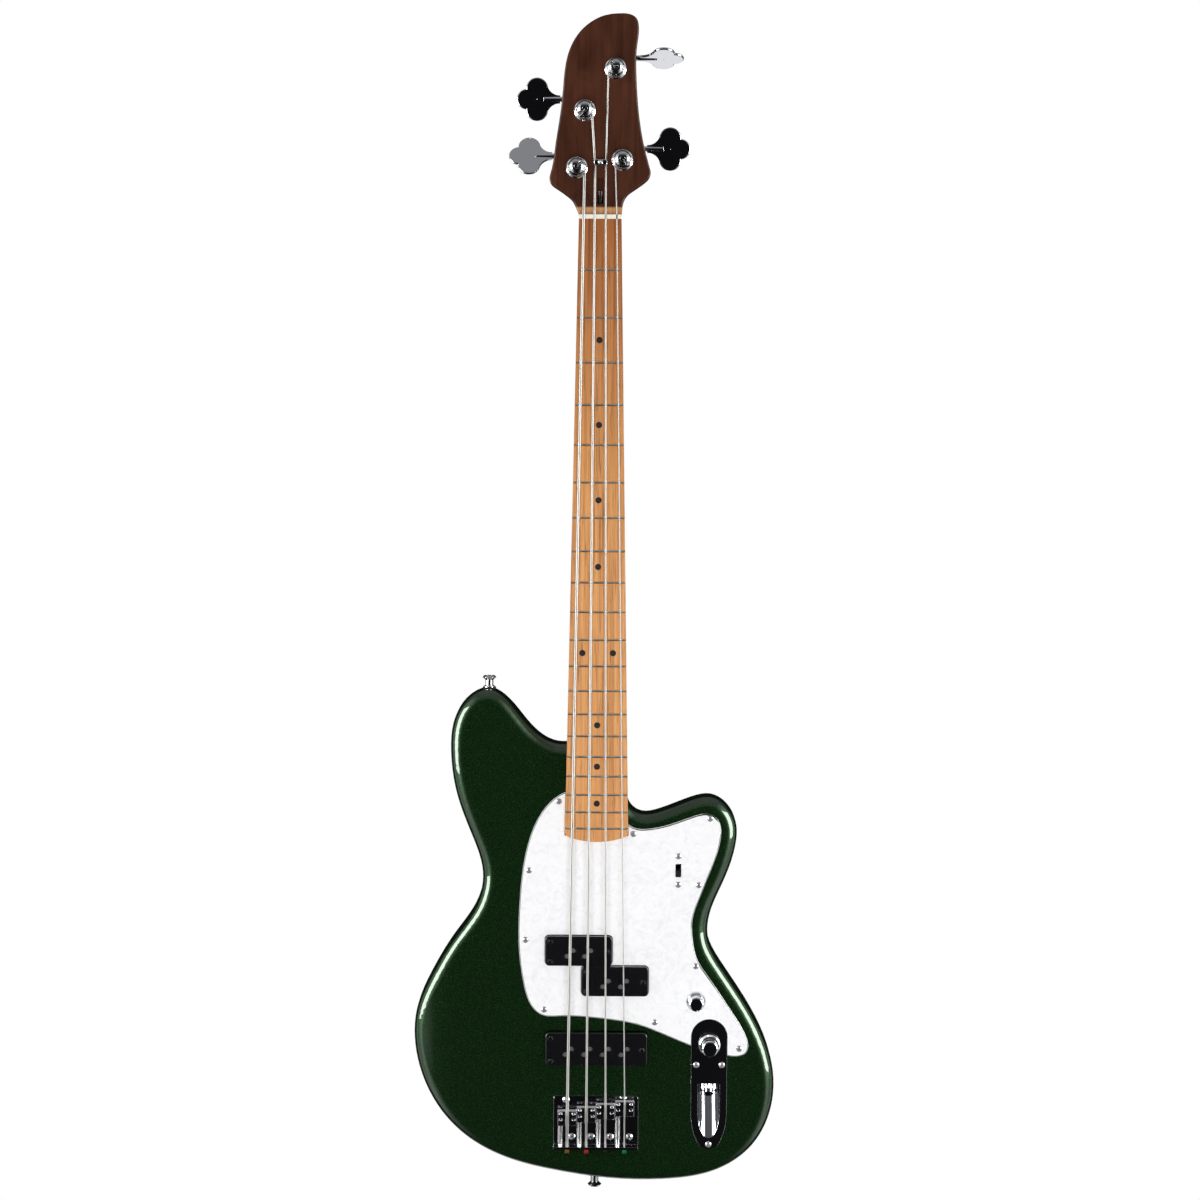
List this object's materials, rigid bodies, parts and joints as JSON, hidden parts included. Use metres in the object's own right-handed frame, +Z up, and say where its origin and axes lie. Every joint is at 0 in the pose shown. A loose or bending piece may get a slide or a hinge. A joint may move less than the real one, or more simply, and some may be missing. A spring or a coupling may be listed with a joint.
{
  "type": "electric bass guitar",
  "caption": "Solid-body electric bass guitar with a bolt-on neck, split and bar pickups, a pearl pickguard, a boat-shaped control plate with sunk jack, and geared tuners.",
  "frame": {"origin": "outer end of the tail strap button, on the string centre line and at the body's mid thickness", "axes": "+Z up along the neck, -Y is the front that carries the strings, +X is the treble side"},
  "size_m": [0.3576, 0.0738, 1.1545],
  "materials": {
    "body_green": "gloss dark metallic green lacquer on wood",
    "guard_pearl": "white pearl, three ply",
    "chrome": "polished chrome plating",
    "steel": "bright steel",
    "roasted_maple": "satin roasted maple",
    "ivory_nut": "polished ivory-coloured nut",
    "black_plastic": "satin black plastic",
    "dark_felt": "dark felt",
    "brass": "plain brass",
    "coil_black": "taped coil"
  },
  "bodies": {
    "instrument": {"body": "body_green", "pickguard": "guard_pearl", "plate_screws": "chrome", "neck_plate": "chrome", "neck_bolts": "chrome", "strap_buttons": "chrome", "strap_button_screws": "chrome", "strap_button_washers": "dark_felt", "neck": "roasted_maple", "fretboard": "roasted_maple", "frets": "steel", "position_dots": "black_plastic", "nut": "ivory_nut", "truss_rod": "steel", "string_retainer": "chrome", "tuner_bushings": "chrome", "tuner_base_plates": "chrome", "headstock_screws": "chrome", "string_ball_ends": "brass", "bridge_plate": "chrome", "bridge_screws": "chrome", "intonation_screws": "chrome", "split_pickup_cover_bass": "black_plastic", "split_pickup_cover_treble": "black_plastic", "bar_pickup_cover": "black_plastic", "pickup_pole_pieces": "steel", "pickup_coils": "coil_black", "pickup_screws": "steel", "control_plate": "chrome", "output_jack": "steel", "control_nuts": "chrome", "potentiometers": "steel", "slide_switch": "steel", "string_e": "steel", "saddle_spring_e": "steel", "string_a": "steel", "saddle_spring_a": "steel", "string_d": "steel", "saddle_spring_d": "steel", "string_g": "steel", "saddle_spring_g": "steel"},
    "key_e": {"tuner_key_e": "chrome"},
    "post_e": {"tuner_post_e": "chrome"},
    "key_a": {"tuner_key_a": "chrome"},
    "post_a": {"tuner_post_a": "chrome"},
    "key_d": {"tuner_key_d": "chrome"},
    "post_d": {"tuner_post_d": "chrome"},
    "key_g": {"tuner_key_g": "chrome"},
    "post_g": {"tuner_post_g": "chrome"},
    "volume_control": {"volume_knob": "chrome", "volume_shaft": "steel"},
    "ring_control": {"stacked_knob_ring": "chrome", "stacked_outer_shaft": "brass"},
    "top_control": {"stacked_knob_top": "chrome", "stacked_inner_shaft": "steel"},
    "switch_lever": {"slide_switch_lever": "black_plastic"},
    "saddle_block_e": {"saddle_e": "chrome"},
    "saddle_block_a": {"saddle_a": "chrome"},
    "saddle_block_d": {"saddle_d": "chrome"},
    "saddle_block_g": {"saddle_g": "chrome"}
  },
  "joints": [
    {"name": "key_e_turn", "type": "hinge", "parent": "instrument", "child": "key_e", "pos_m": [-0.02279, -0.001, 1.02027], "axis": [1, 0, 0], "continuous": true, "deforming": ["string_e"]},
    {"name": "post_e_turn", "type": "hinge", "parent": "instrument", "child": "post_e", "pos_m": [-0.02279, 0, 1.00767], "axis": [0, 1, 0], "continuous": true, "deforming": ["string_e"]},
    {"name": "key_a_turn", "type": "hinge", "parent": "instrument", "child": "key_a", "pos_m": [-0.01539, -0.001, 1.07465], "axis": [1, 0, 0], "continuous": true, "deforming": ["string_a"]},
    {"name": "post_a_turn", "type": "hinge", "parent": "instrument", "child": "post_a", "pos_m": [-0.01539, 0, 1.06205], "axis": [0, 1, 0], "continuous": true, "deforming": ["string_a"]},
    {"name": "key_d_turn", "type": "hinge", "parent": "instrument", "child": "key_d", "pos_m": [0.01383, -0.001, 1.1145], "axis": [1, 0, 0], "continuous": true, "deforming": ["string_d"]},
    {"name": "post_d_turn", "type": "hinge", "parent": "instrument", "child": "post_d", "pos_m": [0.01383, 0, 1.1019], "axis": [0, 1, 0], "continuous": true, "deforming": ["string_d"]},
    {"name": "key_g_turn", "type": "hinge", "parent": "instrument", "child": "key_g", "pos_m": [0.02094, -0.001, 1.02773], "axis": [1, 0, 0], "continuous": true, "deforming": ["string_g"]},
    {"name": "post_g_turn", "type": "hinge", "parent": "instrument", "child": "post_g", "pos_m": [0.02094, 0, 1.01513], "axis": [0, 1, 0], "continuous": true, "deforming": ["string_g"]},
    {"name": "volume_turn", "type": "hinge", "parent": "instrument", "child": "volume_control", "pos_m": [0.099, -0.03, 0.194], "axis": [0, -1, 0], "range_deg": [-150, 150]},
    {"name": "ring_turn", "type": "hinge", "parent": "instrument", "child": "ring_control", "pos_m": [0.1126, -0.03, 0.1514], "axis": [0, -1, 0], "range_deg": [-150, 150]},
    {"name": "top_turn", "type": "hinge", "parent": "instrument", "child": "top_control", "pos_m": [0.1126, -0.03, 0.1514], "axis": [0, -1, 0], "range_deg": [-150, 150]},
    {"name": "switch_slide", "type": "slide", "parent": "instrument", "child": "switch_lever", "axis": [0, 0, 1], "range_m": [0, 0.0062]},
    {"name": "saddle_e_slide", "type": "slide", "parent": "instrument", "child": "saddle_block_e", "axis": [0, 0, 1], "range_m": [-0.004, 0.004], "deforming": ["saddle_spring_e", "string_e"]},
    {"name": "saddle_a_slide", "type": "slide", "parent": "instrument", "child": "saddle_block_a", "axis": [0, 0, 1], "range_m": [-0.004, 0.004], "deforming": ["saddle_spring_a", "string_a"]},
    {"name": "saddle_d_slide", "type": "slide", "parent": "instrument", "child": "saddle_block_d", "axis": [0, 0, 1], "range_m": [-0.004, 0.004], "deforming": ["saddle_spring_d", "string_d"]},
    {"name": "saddle_g_slide", "type": "slide", "parent": "instrument", "child": "saddle_block_g", "axis": [0, 0, 1], "range_m": [-0.004, 0.002], "deforming": ["saddle_spring_g", "string_g"]}
  ],
  "couplings": [
    {"joint": "post_e_turn", "follows": "key_e_turn", "ratio": -0.05},
    {"joint": "post_a_turn", "follows": "key_a_turn", "ratio": -0.05},
    {"joint": "post_d_turn", "follows": "key_d_turn", "ratio": -0.05},
    {"joint": "post_g_turn", "follows": "key_g_turn", "ratio": -0.05}
  ]
}
